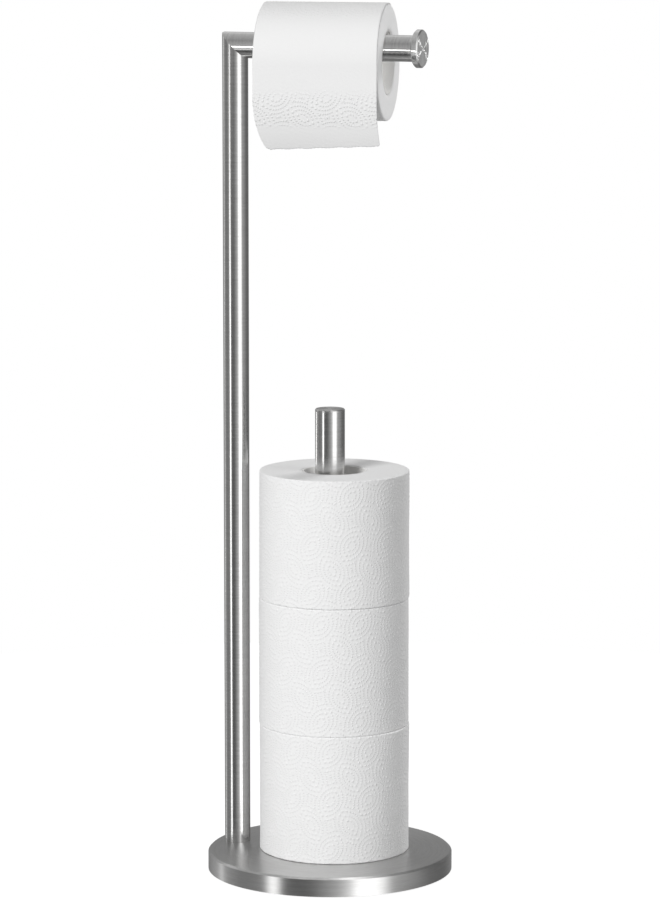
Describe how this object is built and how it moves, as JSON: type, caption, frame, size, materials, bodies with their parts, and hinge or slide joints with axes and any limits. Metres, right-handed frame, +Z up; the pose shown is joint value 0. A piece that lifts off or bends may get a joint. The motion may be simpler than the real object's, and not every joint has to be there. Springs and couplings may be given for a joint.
{
  "type": "freestanding toilet paper holder",
  "caption": "Freestanding toilet paper holder: round weighted base, upright with a mitred side arm and end knob, spare roll post, and the rolls that it carries.",
  "frame": {"origin": "centre of the base on the floor, below the spare post", "axes": "+Z up; +X along the arm, from the upright over the spare post to the knob; the loose sheet hangs on the -Y side"},
  "size_m": [0.19, 0.19, 0.674],
  "materials": {
    "stainless": "fine brushed stainless steel, satin",
    "plug_steel": "plain turned steel",
    "zinc_steel": "bright zinc plate",
    "weight_iron": "cast iron under thin black paint",
    "pad_foam": "closed-cell foam, matte",
    "tissue": "white tissue, dot embossed",
    "core_card": "pale recycled card, spiral wound"
  },
  "bodies": {
    "root": {"base_cover": "stainless", "base_weight": "weight_iron", "base_pad": "pad_foam", "upright_tube": "stainless", "upright_plug": "plug_steel", "upright_bolt": "zinc_steel", "upright_washer": "zinc_steel", "arm_tube": "stainless", "arm_end_knob": "stainless", "spare_post_tube": "stainless", "spare_post_cap": "stainless", "spare_post_plug": "plug_steel", "spare_post_bolt": "zinc_steel", "spare_post_washer": "zinc_steel", "hanging_roll_sheet": "tissue"},
    "hanging_roll": {"hanging_roll_paper": "tissue", "hanging_roll_core": "core_card"},
    "spare_roll_bottom": {"spare_roll_bottom_paper": "tissue", "spare_roll_bottom_core": "core_card"},
    "spare_roll_middle": {"spare_roll_middle_paper": "tissue", "spare_roll_middle_core": "core_card"},
    "spare_roll_top": {"spare_roll_top_paper": "tissue", "spare_roll_top_core": "core_card"}
  },
  "joints": [
    {"name": "hanging_roll_spin", "type": "hinge", "parent": "root", "child": "hanging_roll", "pos_m": [-0.0025, 0, 0.62865], "axis": [0.9903, 0.1392, 0], "continuous": true},
    {"name": "spare_roll_bottom_lift", "type": "slide", "parent": "root", "child": "spare_roll_bottom", "axis": [0, 0, 1], "range_m": [0, 0.045]},
    {"name": "spare_roll_middle_lift", "type": "slide", "parent": "spare_roll_bottom", "child": "spare_roll_middle", "axis": [0, 0, 1], "range_m": [0, 0.045]},
    {"name": "spare_roll_top_lift", "type": "slide", "parent": "spare_roll_middle", "child": "spare_roll_top", "axis": [0, 0, 1], "range_m": [0, 0.152]}
  ]
}
